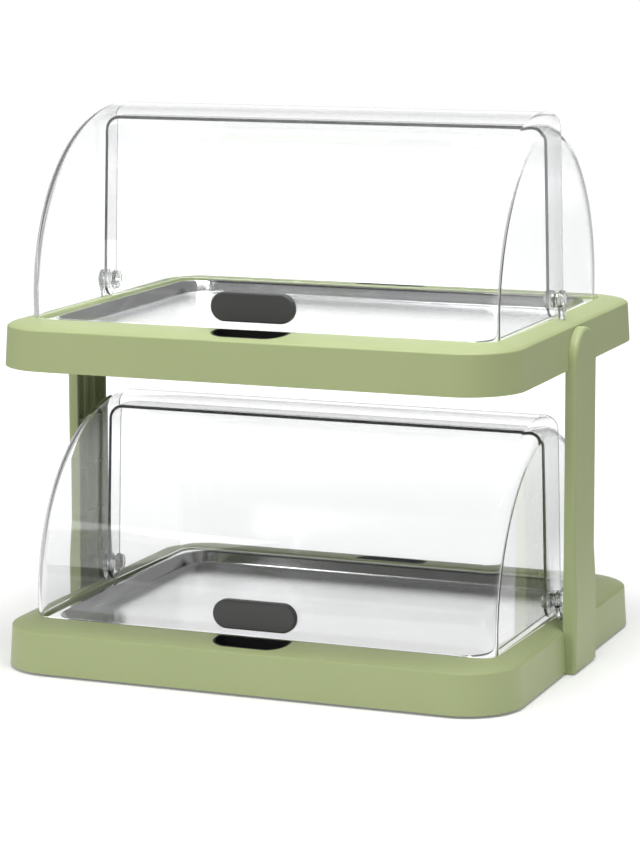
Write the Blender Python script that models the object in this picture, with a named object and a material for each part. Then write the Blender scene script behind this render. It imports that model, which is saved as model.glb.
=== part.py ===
"""Two-tier chilled roll-top display.

X runs along the trays, Y from the front to the back, +Z up. The origin is on the table under the centre of the
base. Each tier has a tray with a chilled steel pan and a clear cover in two halves. The front half is the outer
one. Both halves roll up about the pivots at the middle of the two ends, the front half back over the rear one
and the rear half forward under the front one.
"""

from math import atan, cos, pi, radians, sin, sqrt

import bmesh
import bpy
from mathutils import Matrix, Vector

mm = 0.001

# The clear covers drive the rest: the trays and posts are built outward from them
cover_length = 395.2 * mm
cover_radius = 147.8 * mm
cover_sheet = 2.4 * mm
cover_corner_radius = 12.0 * mm
cover_lean_share = 0.0248
nest_gap_radial = 8.1 * mm
nest_gap_side = 2.8 * mm
overlap_half_band = 13.2 * mm
pivot_above_foot = 14.1 * mm
foot_gap = 0.5 * mm

# Clearances and drawing steps
fit_gap = 0.3 * mm
overrun = 2.0 * mm
corner_steps = 6
spin_steps = 48
fillet_steps = 3
small_round_sides = 12
bore_sides = 16

# Tray housings, from their own bottom edge
tray_side_height = 32.5 * mm
tray_corner_radius = 47.0 * mm
tray_draft = 2.0 * mm
tray_edge_round = 1.5 * mm
rim_side_width = 22.7 * mm
rim_front_width = 35.7 * mm
crown_rise = 4.0 * mm
crown_steps_shares = (1 / 3, 2 / 3)
lip_setback_side = 1.9 * mm
lip_setback_front = 1.8 * mm
lip_corner_radius = 14.0 * mm
lip_round = 0.6 * mm
housing_wall = 2.8 * mm
well_lean = 2.0 * mm
well_fillet = 3.0 * mm

# Steel pans
pan_sheet = 0.8 * mm
pan_drop = 2.0 * mm
pan_depth = 10.0 * mm
pan_wall_lean = 4.0 * mm
pan_flange_side = 8.5 * mm
pan_flange_front = 7.5 * mm
pan_corner_radius = 26.0 * mm
pan_fillet = 2.5 * mm
pan_bead = 2.4 * mm
pan_bead_height = 0.7 * mm
pan_edge_gap = 0.5 * mm
well_clearance = 1.2 * mm

# Cooling packs under each pan
pack_gap = 4.0 * mm
pack_edge_round = 3.0 * mm
pack_corner_radius = 26.0 * mm

# Underside plates, their screws and the feet
plate_thickness = 2.5 * mm
plate_inset = 0.4 * mm
plate_edge_gap = 1.0 * mm
plate_screw_radius = 1.5 * mm
plate_screw_head_radius = 3.5 * mm
plate_screw_head = 1.4 * mm
plate_screw_bite = 12.0 * mm
boss_radius = 4.5 * mm
boss_diagonal = 12.0 * mm
foot_height = 2.0 * mm
foot_radius = 9.0 * mm
foot_stem_radius = 3.0 * mm
foot_stem_rise = 1.6 * mm
foot_in_from_lip = 20.0 * mm
foot_past_lip = 15.0 * mm

# Posts
air_above_lower_cover = 42.6 * mm
post_width = 55.4 * mm
post_proud = 7.8 * mm
post_let_in = 1.7 * mm
post_top_drop = 1.5 * mm
post_floor_gap = 0.5 * mm
post_skin = 3.0 * mm
post_flange = 2.5 * mm
post_edge_round = 3.5 * mm
post_arc_steps = 20
boot_flare = 2.0 * mm
boot_widen = 1.0 * mm
boot_above_tray = 25.0 * mm
boot_blend = 35.0 * mm
rib_set_back = 2.6 * mm
rib_thickness = 1.6 * mm
rib_side_step = 0.4 * mm
rib_spacing = 18.4 * mm
rib_pitch = 40.3 * mm
rib_margin = 6.0 * mm
post_screw_spacing = 28.0 * mm
post_screw_radius = 2.0 * mm
post_screw_head_radius = 4.0 * mm
post_screw_head = 3.0 * mm
post_boss_radius = 4.6 * mm
seat_block = 8.0 * mm
seat_margin = 6.0 * mm

# Pivots
knob_radius = 7.75 * mm
knob_length = 4.5 * mm
knob_gap = 0.5 * mm
pin_radius = 5.0 * mm
bracket_thickness = 4.0 * mm
bracket_gap = 0.6 * mm
bracket_foot_width = 5.0 * mm
bracket_foot_depth = 10.0 * mm

# Grips
grip_length = 69.5 * mm
grip_height = 23.0 * mm
grip_thickness = 6.0 * mm
grip_above_pivot = 3.4 * mm
grip_edge_round = 1.2 * mm
grip_pegs_apart = 40.0 * mm
peg_radius = 2.2 * mm
peg_stand = 0.8 * mm

# Finger recesses in the rims
recess_length = 59.0 * mm
recess_reach_share = 0.72
recess_depth = 12.0 * mm
recess_corner_radius = 14.0 * mm
recess_back_radius = 2.0 * mm
liner_wall = 1.5 * mm
liner_from_lip = 2.2 * mm

# Worked out from the sizes above
inner_radius = cover_radius - cover_sheet - nest_gap_radial
outer_half_length = cover_length / 2
inner_half_length = outer_half_length - cover_sheet - nest_gap_side
mouth_x = inner_half_length - lip_setback_side
mouth_y = cover_radius - lip_setback_front
side_x = mouth_x + rim_side_width
side_y = mouth_y + rim_front_width
lip_height = tray_side_height + crown_rise
pivot_height = lip_height + foot_gap + pivot_above_foot
flange_top = lip_height - pan_drop
ledge_height = flange_top - pan_sheet - fit_gap
pan_x = mouth_x - pan_edge_gap
pan_y = mouth_y - pan_edge_gap
pan_wall_x = pan_x - pan_flange_side
pan_wall_y = pan_y - pan_flange_front
well_x = pan_wall_x + pan_sheet + well_clearance
well_y = pan_wall_y + pan_sheet + well_clearance
well_radius = pan_corner_radius + pan_sheet + well_clearance
plate_bottom = plate_inset
plate_top = plate_bottom + plate_thickness
well_floor_bottom = plate_top + fit_gap
well_floor = well_floor_bottom + housing_wall
tier_rise = pivot_height + cover_radius + air_above_lower_cover
base_height = foot_height
upper_height = base_height + tier_rise
tiers = {"lower": base_height, "upper": upper_height}
notch_floor = side_x - post_let_in
post_inner = notch_floor + fit_gap
post_outer = side_x + post_proud
post_half_width = post_width / 2
post_top = upper_height + tray_side_height - post_top_drop
post_shoulder = post_top - post_half_width
boot_full = base_height + tray_side_height + boot_above_tray
boot_start = boot_full + boot_blend
post_screw_height = tray_side_height / 2
pin_bore = pin_radius + fit_gap
bracket_inner = outer_half_length + bracket_gap
bracket_outer = bracket_inner + bracket_thickness
sides = {"left": -1, "right": 1}
ends = {"front": -1, "rear": 1}

for stale in list(bpy.data.objects):
    bpy.data.objects.remove(stale)

parts = bpy.data.collections.new("chilled_roll_top_display")
cutters = bpy.data.collections.new("cutters")
bpy.context.scene.collection.children.link(parts)
bpy.context.scene.collection.children.link(cutters)


def material(name, colour, roughness, metallic=0.0, alpha=1.0):
    made = bpy.data.materials.new(name)
    made.use_nodes = True
    shader = made.node_tree.nodes["Principled BSDF"]
    shader.inputs["Base Color"].default_value = (*colour, 1)
    shader.inputs["Roughness"].default_value = roughness
    shader.inputs["Metallic"].default_value = metallic
    shader.inputs["Alpha"].default_value = alpha
    made.diffuse_color = (*colour, alpha)
    return made


green = (0.36, 0.42, 0.21)
steel = (0.62, 0.62, 0.61)
clear = (0.86, 0.90, 0.90)


def add_object(name, bm, look, location=(0, 0, 0), collection=parts):
    """Closes the bmesh into one smooth-shaded object."""
    bmesh.ops.recalc_face_normals(bm, faces=bm.faces)
    mesh = bpy.data.meshes.new(name)
    bm.to_mesh(mesh)
    bm.free()
    mesh.shade_smooth()
    mesh.set_sharp_from_angle(angle=radians(32))
    made = bpy.data.objects.new(name, mesh)
    made.location = location
    collection.objects.link(made)
    if look:
        mesh.materials.append(look)
    return made


def add_cutter(name, bm, location=(0, 0, 0)):
    made = add_object(name, bm, None, location, cutters)
    made.hide_render = True
    made.display_type = "WIRE"
    return made


def combine(target, other, operation):
    change = target.modifiers.new(f"{operation.lower()} {other.name}", "BOOLEAN")
    change.operation = operation
    change.solver = "EXACT"
    change.object = other


def add_box(bm, low, high):
    low, high = Vector(low), Vector(high)
    place = Matrix.Translation((low + high) / 2) @ Matrix.Diagonal((*(high - low), 1))
    return bmesh.ops.create_cube(bm, size=1, matrix=place)["verts"]


def add_rod(bm, start, end, radius, rod_sides=small_round_sides):
    """A capped cylinder between two points."""
    start, end = Vector(start), Vector(end)
    along = end - start
    turn = along.to_track_quat("Z", "Y").to_matrix().to_4x4()
    place = Matrix.Translation((start + end) / 2) @ turn
    bmesh.ops.create_cone(
        bm, cap_ends=True, segments=rod_sides, radius1=radius, radius2=radius, depth=along.length, matrix=place
    )


def add_turned(bm, profile, steps=small_round_sides):
    """A turned solid about Z from (radius, height) pairs, with flat ends."""
    verts = [bm.verts.new((radius, 0, height)) for radius, height in profile]
    edges = [bm.edges.new(pair) for pair in zip(verts, verts[1:])]
    bmesh.ops.spin(
        bm,
        geom=verts + edges,
        cent=(0, 0, 0),
        axis=(0, 0, 1),
        angle=2 * pi,
        steps=steps,
        use_merge=True,
        use_duplicate=False,
    )
    bmesh.ops.holes_fill(bm, edges=bm.edges)


def add_prism(bm, outline, axis, low, high):
    """A flat outline extruded from low to high along one axis. The outline gives the other two, in X, Y, Z order."""
    verts = []
    for point in outline:
        values = list(point)
        values.insert("XYZ".index(axis), low)
        verts.append(bm.verts.new(values))
    start = bm.faces.new(verts)
    grown = bmesh.ops.extrude_face_region(bm, geom=[start], use_keep_orig=True)["geom"]
    travel = [(high - low) if name == axis else 0 for name in "XYZ"]
    bmesh.ops.translate(bm, verts=[v for v in grown if isinstance(v, bmesh.types.BMVert)], vec=travel)
    bmesh.ops.recalc_face_normals(bm, faces=bm.faces)


def arc(centre, radius, start, end, steps):
    """Points of a circular arc, both ends included. Angles are in radians."""
    turns = [start + (end - start) * i / steps for i in range(steps + 1)]
    return [(centre[0] + radius * cos(turn), centre[1] + radius * sin(turn)) for turn in turns]


def rounded_rectangle(half_x, half_y, radius):
    corners = ((1, 1), (-1, 1), (-1, -1), (1, -1))
    points = []
    for quarter, (sign_x, sign_y) in enumerate(corners):
        centre = (sign_x * (half_x - radius), sign_y * (half_y - radius))
        points += arc(centre, radius, quarter * pi / 2, (quarter + 1) * pi / 2, corner_steps)
    return points


def add_loft(bm, rings):
    """Bridges rounded rectangles (half_x, half_y, corner radius, height) in order, and caps the first and last."""
    loops = [
        [bm.verts.new((x, y, height)) for x, y in rounded_rectangle(half_x, half_y, radius)]
        for half_x, half_y, radius, height in rings
    ]
    for below, above in zip(loops, loops[1:]):
        for i in range(len(below)):
            j = (i + 1) % len(below)
            bm.faces.new((below[i], below[j], above[j], above[i]))
    bm.faces.new(loops[0])
    bm.faces.new(loops[-1])


def crown_section():
    """How far in from the tray's side and how high the rim's outer surface is, from the side up to the lip."""
    section = []
    for turn in (0, pi / 4, pi / 2):
        inward = tray_edge_round * (1 - cos(turn))
        section.append((inward / rim_front_width, tray_side_height - tray_edge_round * (1 - sin(turn))))
    for share in crown_steps_shares:
        section.append((share, tray_side_height + crown_rise * (1 - (1 - share) ** 2)))
    return section


def housing_rings():
    """The housing's skin, from the well's floor out over the lip, down the side and back along the inside."""
    well_bottom_x = well_x - well_lean
    well_bottom_y = well_y - well_lean
    well_bottom_radius = well_radius - well_lean
    inside_x = side_x - housing_wall
    inside_y = side_y - housing_wall
    top_radius = tray_corner_radius - tray_draft
    rings = [
        (well_bottom_x - well_fillet, well_bottom_y - well_fillet, well_bottom_radius - well_fillet, well_floor),
        (well_bottom_x, well_bottom_y, well_bottom_radius, well_floor + well_fillet),
        (well_x, well_y, well_radius, ledge_height),
        (mouth_x, mouth_y, lip_corner_radius, ledge_height),
        (mouth_x, mouth_y, lip_corner_radius, lip_height - lip_round),
        (mouth_x + lip_round, mouth_y + lip_round, lip_corner_radius + lip_round, lip_height),
    ]
    for share, height in reversed(crown_section()):
        radius = top_radius + (lip_corner_radius - top_radius) * share
        rings.append((side_x - share * rim_side_width, side_y - share * rim_front_width, radius, height))
    rings += [
        (side_x + tray_draft, side_y + tray_draft, tray_corner_radius, 0),
        (inside_x + tray_draft, inside_y + tray_draft, tray_corner_radius - housing_wall, 0),
        (inside_x, inside_y, top_radius - housing_wall, tray_side_height - housing_wall),
        (
            mouth_x + housing_wall,
            mouth_y + housing_wall,
            lip_corner_radius + housing_wall,
            lip_height - housing_wall,
        ),
        (
            mouth_x + housing_wall,
            mouth_y + housing_wall,
            lip_corner_radius + housing_wall,
            ledge_height - housing_wall,
        ),
        (well_x + housing_wall, well_y + housing_wall, well_radius + housing_wall, ledge_height - housing_wall),
        (
            well_bottom_x + housing_wall,
            well_bottom_y + housing_wall,
            well_bottom_radius + housing_wall,
            well_floor_bottom + well_fillet,
        ),
        (
            well_bottom_x + housing_wall - well_fillet,
            well_bottom_y + housing_wall - well_fillet,
            well_bottom_radius + housing_wall - well_fillet,
            well_floor_bottom,
        ),
    ]
    return rings


def plate_screw_places():
    """Under the corners of the rim, outside the well."""
    reach_x = mouth_x - lip_corner_radius + boss_diagonal
    reach_y = mouth_y - lip_corner_radius + boss_diagonal + boss_radius + housing_wall
    return [(x * reach_x, y * reach_y) for x in sides.values() for y in ends.values()]


def post_outline(inset=0.0, grow=0.0, bottom=post_floor_gap):
    """Side view of a post, (y, z), with its half-round top."""
    half = post_half_width - inset + grow
    wide = half + boot_widen
    top = arc((0, post_shoulder), half, 0, pi, post_arc_steps)
    right = [(wide, bottom), (wide, boot_full), (half, boot_start)]
    left = [(-y, z) for y, z in reversed(right)]
    return right + top + left


def recess_outline(end, grow):
    """Top view of a finger recess: round corners away from the cover, (x, y)."""
    half = recess_length / 2 + liner_wall + grow
    near = mouth_y + liner_from_lip - grow
    far = mouth_y + recess_reach_share * rim_front_width + liner_wall + grow
    round_far = recess_corner_radius + liner_wall + grow
    round_near = recess_back_radius + grow
    points = arc((half - round_near, near + round_near), round_near, -pi / 2, 0, fillet_steps)
    points += arc((half - round_far, far - round_far), round_far, 0, pi / 2, fillet_steps)
    points += [(-x, y) for x, y in reversed(points)]
    return [(x, end * y) for x, y in points]


def recess_floor():
    reach = 1 - recess_reach_share
    return tray_side_height + crown_rise * (1 - (1 - reach) ** 2) - recess_depth


def housing(tier, height, look):
    """Moulded tray: side, crowned rim, inner lip, ledge for the pan and a well for the cooling packs."""
    bm = bmesh.new()
    add_loft(bm, housing_rings())
    name = "base_housing" if tier == "lower" else "upper_housing"
    made = add_object(name, bm, look, (0, 0, height))

    solids = bmesh.new()
    seat_half = post_half_width + seat_margin
    for side in sides.values():
        near, far = sorted((side * (notch_floor - seat_block), side * (side_x - fit_gap)))
        add_box(solids, (near, -seat_half, well_floor_bottom), (far, seat_half, tray_side_height - lip_round))
    for x, y in plate_screw_places():
        add_rod(solids, (x, y, well_floor_bottom), (x, y, tray_side_height), boss_radius)
    combine(made, add_cutter(f"{name} seats and bosses", solids, made.location), "UNION")

    cuts = bmesh.new()
    for side in sides.values():
        near, far = sorted((side * notch_floor, side * (side_x + tray_draft + overrun)))
        outline = [(y, z - height) for y, z in post_outline(grow=fit_gap, bottom=post_floor_gap - overrun)]
        add_prism(cuts, outline, "X", near, far)
        near, far = sorted((side * (bracket_inner - fit_gap), side * (bracket_outer + fit_gap)))
        slot = bracket_foot_width / 2 + fit_gap
        add_box(cuts, (near, -slot, tray_side_height - bracket_foot_depth), (far, slot, lip_height + overrun))
    for end in ends.values():
        low = recess_floor() - liner_wall - fit_gap
        add_prism(cuts, recess_outline(end, fit_gap), "Z", low, lip_height + overrun)
    for x, y in plate_screw_places():
        bore = plate_screw_radius + fit_gap
        top = plate_top + plate_screw_bite + fit_gap
        add_rod(cuts, (x, y, well_floor_bottom - overrun), (x, y, top), bore)
    combine(made, add_cutter(f"{name} notches slots and bores", cuts, made.location), "DIFFERENCE")

    bores = bmesh.new()
    for side in sides.values():
        for end in ends.values():
            y = end * post_screw_spacing / 2
            start = (side * (notch_floor - seat_block - overrun), y, post_screw_height)
            stop = (side * (notch_floor + overrun), y, post_screw_height)
            add_rod(bores, start, stop, post_screw_radius + fit_gap)
    combine(made, add_cutter(f"{name} post screw bores", bores, made.location), "DIFFERENCE")


def underside_plate(tier, height, look):
    """Closes the housing from below, set in from its bottom edge."""
    half_x = notch_floor - fit_gap
    half_y = side_y + tray_draft - housing_wall - plate_edge_gap
    radius = tray_corner_radius - housing_wall - plate_edge_gap
    bm = bmesh.new()
    add_loft(bm, [(half_x, half_y, radius, plate_bottom), (half_x, half_y, radius, plate_top)])
    name = "base_underside_plate" if tier == "lower" else "upper_underside_plate"
    made = add_object(name, bm, look, (0, 0, height))

    bores = bmesh.new()
    for x, y in plate_screw_places():
        bore = plate_screw_radius + fit_gap
        add_rod(bores, (x, y, plate_bottom - overrun), (x, y, plate_top + overrun), bore)
    if tier == "lower":
        for x, y in foot_places():
            bore = foot_stem_radius + fit_gap
            add_rod(bores, (x, y, plate_bottom - overrun), (x, y, plate_top + overrun), bore)
    combine(made, add_cutter(f"{name} bores", bores, made.location), "DIFFERENCE")

    sinks = bmesh.new()
    for x, y in plate_screw_places():
        low, high = plate_bottom - overrun, plate_bottom + plate_screw_head + fit_gap
        add_rod(sinks, (x, y, low), (x, y, high), plate_screw_head_radius + fit_gap)
    combine(made, add_cutter(f"{name} counterbores", sinks, made.location), "DIFFERENCE")


def plate_screws(tier, height, look):
    """Cross-head screws that hold the underside plate to the bosses, heads down."""
    for number, (x, y) in enumerate(plate_screw_places(), 1):
        bm = bmesh.new()
        head_top = plate_bottom + plate_screw_head
        tip = plate_top + plate_screw_bite
        add_turned(
            bm,
            [
                (plate_screw_head_radius, plate_bottom),
                (plate_screw_head_radius, head_top),
                (plate_screw_radius, head_top),
                (plate_screw_radius, tip),
            ],
        )
        prefix = "base" if tier == "lower" else "upper"
        add_object(f"{prefix}_plate_screw_{number}", bm, look, (x, y, height))


def foot_places():
    reach_x = mouth_x - foot_in_from_lip
    reach_y = mouth_y + foot_past_lip
    return [(x * reach_x, y * reach_y) for x in sides.values() for y in ends.values()]


def feet(look):
    """Low rubber feet, plugged into the base's underside plate."""
    for (side_name, side), (end_name, end) in [(s, e) for s in sides.items() for e in ends.items()]:
        x = side * (mouth_x - foot_in_from_lip)
        y = end * (mouth_y + foot_past_lip)
        shoulder = base_height + plate_bottom - fit_gap
        bm = bmesh.new()
        add_turned(
            bm,
            [
                (foot_radius, 0),
                (foot_radius, shoulder),
                (foot_stem_radius, shoulder),
                (foot_stem_radius, base_height + plate_top + foot_stem_rise),
            ],
            bore_sides,
        )
        add_object(f"foot_{end_name}_{side_name}", bm, look, (x, y, 0))


def post(side_name, side, look):
    """U-section post: a skin with flanges round it, two long ribs and cross ribs, all open to the inside."""
    bm = bmesh.new()
    near, far = sorted((side * post_inner, side * post_outer))
    add_prism(bm, post_outline(), "X", near, far)
    outer = [v for v in bm.verts if abs(v.co.x - side * post_outer) < fit_gap]
    for height in (boot_full, boot_start):
        bmesh.ops.connect_verts(bm, verts=[v for v in outer if abs(v.co.z - height) < fit_gap])
    for vert in outer:
        if vert.co.z < boot_full + fit_gap:
            vert.co.x += side * boot_flare
    rim = [e for e in bm.edges if all(v in outer for v in e.verts) and e.is_manifold and e.calc_face_angle() > 1]
    bmesh.ops.bevel(
        bm, geom=rim, offset=post_edge_round, segments=2, profile=0.5, affect="EDGES", material=-1
    )
    made = add_object(f"post_{side_name}", bm, look)

    rib_face = post_inner + rib_set_back
    pocket = bmesh.new()
    low, high = sorted((side * (post_inner - overrun), side * rib_face))
    add_prism(pocket, post_outline(inset=post_flange, bottom=post_floor_gap + post_flange), "X", low, high)
    combine(made, add_cutter(f"post_{side_name} pocket", pocket), "DIFFERENCE")

    cells = bmesh.new()
    low, high = sorted((side * (post_inner - overrun), side * (post_outer - post_skin)))
    edge = post_half_width - post_flange - rib_side_step
    rib = (rib_spacing - rib_thickness) / 2
    bottom = base_height + tray_side_height + crown_rise - rib_margin
    top = upper_height
    rib_count = int((top - bottom) / rib_pitch)
    first = (bottom + top - (rib_count - 1) * rib_pitch) / 2
    levels = [bottom - rib_thickness / 2]
    levels += [first + i * rib_pitch for i in range(rib_count)]
    levels += [top + rib_thickness / 2]
    for y_low, y_high in ((-edge, -rib - rib_thickness), (-rib, rib), (rib + rib_thickness, edge)):
        for z_low, z_high in zip(levels, levels[1:]):
            add_box(cells, (low, y_low, z_low + rib_thickness / 2), (high, y_high, z_high - rib_thickness / 2))
    combine(made, add_cutter(f"post_{side_name} cells", cells), "DIFFERENCE")

    bosses = bmesh.new()
    bores = bmesh.new()
    for tier_height in tiers.values():
        for end in ends.values():
            y = end * post_screw_spacing / 2
            z = tier_height + post_screw_height
            face = side * post_inner
            add_rod(bosses, (face, y, z), (side * (rib_face + lip_round), y, z), post_boss_radius)
            end_x = side * (post_outer - post_skin - fit_gap)
            add_rod(bores, (side * (post_inner - overrun), y, z), (end_x, y, z), post_screw_radius + fit_gap)
    combine(made, add_cutter(f"post_{side_name} bosses", bosses), "UNION")
    combine(made, add_cutter(f"post_{side_name} bores", bores), "DIFFERENCE")


def post_screws(tier, height, side_name, side, look):
    """Screws from inside the housing through its seat block into the post's bosses."""
    head_face = notch_floor - seat_block - fit_gap
    for end_name, end in ends.items():
        bm = bmesh.new()
        add_turned(
            bm,
            [
                (post_screw_head_radius, -post_screw_head),
                (post_screw_head_radius, 0),
                (post_screw_radius, 0),
                (post_screw_radius, post_outer - post_skin - fit_gap - fit_gap - head_face),
            ],
        )
        bmesh.ops.rotate(bm, verts=bm.verts, cent=(0, 0, 0), matrix=Matrix.Rotation(side * pi / 2, 3, "Y"))
        y = end * post_screw_spacing / 2
        name = f"{tier}_{side_name}_post_screw_{end_name}"
        add_object(name, bm, look, (side * head_face, y, height + post_screw_height))


def pan(tier, height, look):
    """Shallow pressed steel pan: flat flange on the ledge, rolled bead, sloping wall and rounded corners."""
    flange_radius = lip_corner_radius - pan_edge_gap
    bottom_x = pan_wall_x - pan_wall_lean
    bottom_y = pan_wall_y - pan_wall_lean
    bottom_radius = pan_corner_radius - pan_wall_lean
    floor = flange_top - pan_depth
    bead = pan_bead / 2
    rings = [
        (bottom_x - pan_fillet, bottom_y - pan_fillet, bottom_radius - pan_fillet, floor),
        (bottom_x, bottom_y, bottom_radius, floor + pan_fillet),
        (pan_wall_x, pan_wall_y, pan_corner_radius, flange_top),
        (pan_wall_x + bead, pan_wall_y + bead, pan_corner_radius + bead, flange_top + pan_bead_height),
        (pan_wall_x + pan_bead, pan_wall_y + pan_bead, pan_corner_radius + pan_bead, flange_top),
        (pan_x, pan_y, flange_radius, flange_top),
        (pan_x, pan_y, flange_radius, flange_top - pan_sheet),
        (pan_wall_x + pan_sheet, pan_wall_y + pan_sheet, pan_corner_radius + pan_sheet, flange_top - pan_sheet),
        (bottom_x + pan_sheet, bottom_y + pan_sheet, bottom_radius + pan_sheet, floor + pan_fillet - pan_sheet),
        (
            bottom_x + pan_sheet - pan_fillet,
            bottom_y + pan_sheet - pan_fillet,
            bottom_radius + pan_sheet - pan_fillet,
            floor - pan_sheet,
        ),
    ]
    bm = bmesh.new()
    add_loft(bm, rings)
    add_object(f"{tier}_pan", bm, look, (0, 0, height))


def cooling_packs(tier, height, look):
    """Two flat freezer packs side by side in the well, under the pan."""
    low = well_floor + fit_gap
    high = flange_top - pan_depth - pan_sheet - fit_gap
    far_x = well_x - well_lean - well_fillet - fit_gap
    far_y = well_y - well_lean - well_fillet - fit_gap
    half_x = (far_x - pack_gap / 2) / 2
    middle = (far_x + pack_gap / 2) / 2
    edge = pack_edge_round
    for side_name, side in sides.items():
        bm = bmesh.new()
        add_loft(
            bm,
            [
                (half_x - edge, far_y - edge, pack_corner_radius - edge, low),
                (half_x, far_y, pack_corner_radius, low + edge),
                (half_x, far_y, pack_corner_radius, high - edge),
                (half_x - edge, far_y - edge, pack_corner_radius - edge, high),
            ],
        )
        add_object(f"{tier}_cooling_pack_{side_name}", bm, look, (side * middle, 0, height))


def drum_profile(half_length, radius, fillet, bore):
    """Half of a cover's section, (x, distance from the pivot axis), from the end panel's bore to the middle."""
    lean = atan(cover_lean_share)
    centre_r = radius - fillet
    centre_x = half_length - cover_lean_share * centre_r - fillet / cos(lean)
    points = [(half_length - cover_lean_share * bore, bore)]
    points += arc((centre_x, centre_r), fillet, -lean, pi / 2, fillet_steps)
    return points


def cover_half(tier, end_name, end, height, look):
    """A quarter of a drum about the pivot axis, cut to the foot line and to the overlap band."""
    outer = end_name == "front"
    radius = cover_radius if outer else inner_radius
    half_length = outer_half_length if outer else inner_half_length
    skin = drum_profile(half_length, radius, cover_corner_radius, pin_bore)
    inside = drum_profile(half_length - cover_sheet, radius - cover_sheet, cover_corner_radius - cover_sheet, pin_bore)
    loop = skin + [(-x, r) for x, r in reversed(skin)] + [(-x, r) for x, r in inside] + list(reversed(inside))
    bm = bmesh.new()
    verts = [bm.verts.new((x, 0, r)) for x, r in loop]
    edges = [bm.edges.new((verts[i], verts[(i + 1) % len(verts)])) for i in range(len(verts))]
    bmesh.ops.spin(
        bm,
        geom=verts + edges,
        cent=(0, 0, 0),
        axis=(1, 0, 0),
        angle=2 * pi,
        steps=spin_steps,
        use_merge=True,
        use_duplicate=False,
    )
    name = f"{tier}_{end_name}_cover"
    made = add_object(name, bm, look, (0, 0, height + pivot_height))

    far = radius + overrun
    band_drop = -sqrt(pivot_above_foot**2 - overlap_half_band**2)
    band_turn = atan(overlap_half_band / -band_drop)
    ear = arc((0, 0), pivot_above_foot, -pi / 2, -pi / 2 + band_turn, fillet_steps)
    outline = [(-far, far), (-far, -pivot_above_foot)] + ear + [(overlap_half_band, far)]
    outline = [(-end * y, z) for y, z in outline]
    shape = bmesh.new()
    add_prism(shape, outline, "X", -half_length - overrun, half_length + overrun)
    combine(made, add_cutter(f"{name} outline", shape, made.location), "INTERSECT")

    return made


def grip(tier, cover, look):
    """Pill-shaped grip on the front half, held by two pegs through the sheet."""
    holes = bmesh.new()
    for side in sides.values():
        x = side * grip_pegs_apart / 2
        near, away = cover_corner_radius - cover_radius, -cover_radius - overrun
        add_rod(holes, (x, near, grip_above_pivot), (x, away, grip_above_pivot), peg_radius + fit_gap)
    combine(cover, add_cutter(f"{cover.name} peg holes", holes, cover.location), "DIFFERENCE")

    half = grip_height / 2
    reach = grip_above_pivot + half
    sag = cover_radius - sqrt(cover_radius**2 - reach**2)
    straight = grip_length / 2 - half
    pill = arc((straight, grip_above_pivot), half, -pi / 2, pi / 2, corner_steps + fillet_steps)
    pill += [(-x, z) for x, z in reversed(pill)]
    back, face = sag + fit_gap - cover_radius, -cover_radius - grip_thickness
    bm = bmesh.new()
    add_prism(bm, pill, "Y", back, face)
    rim = [e for e in bm.edges if all(abs(v.co.y - face) < fit_gap for v in e.verts)]
    bmesh.ops.bevel(
        bm, geom=rim, offset=grip_edge_round, segments=2, profile=0.5, affect="EDGES", material=-1
    )
    name = f"{tier}_front_grip"
    made = add_object(name, bm, look)
    made.parent = cover

    drum = bmesh.new()
    turn = Vector((grip_length, 0, 0))
    add_rod(drum, -turn, turn, cover_radius + fit_gap, spin_steps * 2)
    combine(made, add_cutter(f"{name} seat", drum, cover.location), "DIFFERENCE")

    pegs = bmesh.new()
    for side in sides.values():
        x = side * grip_pegs_apart / 2
        start = (x, cover_sheet + peg_stand - cover_radius, grip_above_pivot)
        stop = (x, -cover_radius - grip_thickness / 2, grip_above_pivot)
        add_rod(pegs, start, stop, peg_radius)
    combine(made, add_cutter(f"{name} pegs", pegs, cover.location), "UNION")


def finger_liner(tier, end_name, end, height, look):
    """Black cup set in the rim, so that fingers reach the edge of a cover half."""
    floor = recess_floor()
    bm = bmesh.new()
    add_prism(bm, recess_outline(end, 0.0), "Z", floor - liner_wall, lip_height + overrun)
    name = f"{tier}_{end_name}_finger_liner"
    made = add_object(name, bm, look, (0, 0, height))

    hollow = bmesh.new()
    add_prism(hollow, recess_outline(end, -liner_wall), "Z", floor, lip_height + overrun + overrun)
    combine(made, add_cutter(f"{name} hollow", hollow, made.location), "DIFFERENCE")

    high = lip_height + overrun + overrun
    section = [(side_y - share * rim_front_width, z) for share, z in crown_section()]
    section.append((mouth_y + lip_round, lip_height))
    section.append((mouth_y - overrun, lip_height))
    section = [(y, z) for y, z in section] + [(mouth_y - overrun, high), (side_y + overrun, high)]
    section = [(end * y, z) for y, z in section]
    above = bmesh.new()
    add_prism(above, section, "X", -recess_length, recess_length)
    combine(made, add_cutter(f"{name} above the rim", above, made.location), "DIFFERENCE")


def pivot_bracket(tier, side_name, side, height, look):
    """Clear tapered bracket that stands in a slot of the rim and carries the pivot pin."""
    foot = bracket_foot_width / 2
    bottom = tray_side_height - bracket_foot_depth + fit_gap - pivot_height
    shoulder = lip_height - pivot_height
    outline = arc((0, 0), knob_radius, -pi / 6, pi + pi / 6, bore_sides)
    outline += [(-foot, shoulder), (-foot, bottom), (foot, bottom), (foot, shoulder)]
    bm = bmesh.new()
    near, far = sorted((side * bracket_inner, side * bracket_outer))
    add_prism(bm, outline, "X", near, far)
    name = f"{tier}_{side_name}_pivot_bracket"
    made = add_object(name, bm, look, (0, 0, height + pivot_height))
    bore = bmesh.new()
    add_rod(bore, (near - overrun, 0, 0), (far + overrun, 0, 0), pin_bore, bore_sides)
    combine(made, add_cutter(f"{name} bore", bore, made.location), "DIFFERENCE")


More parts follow.
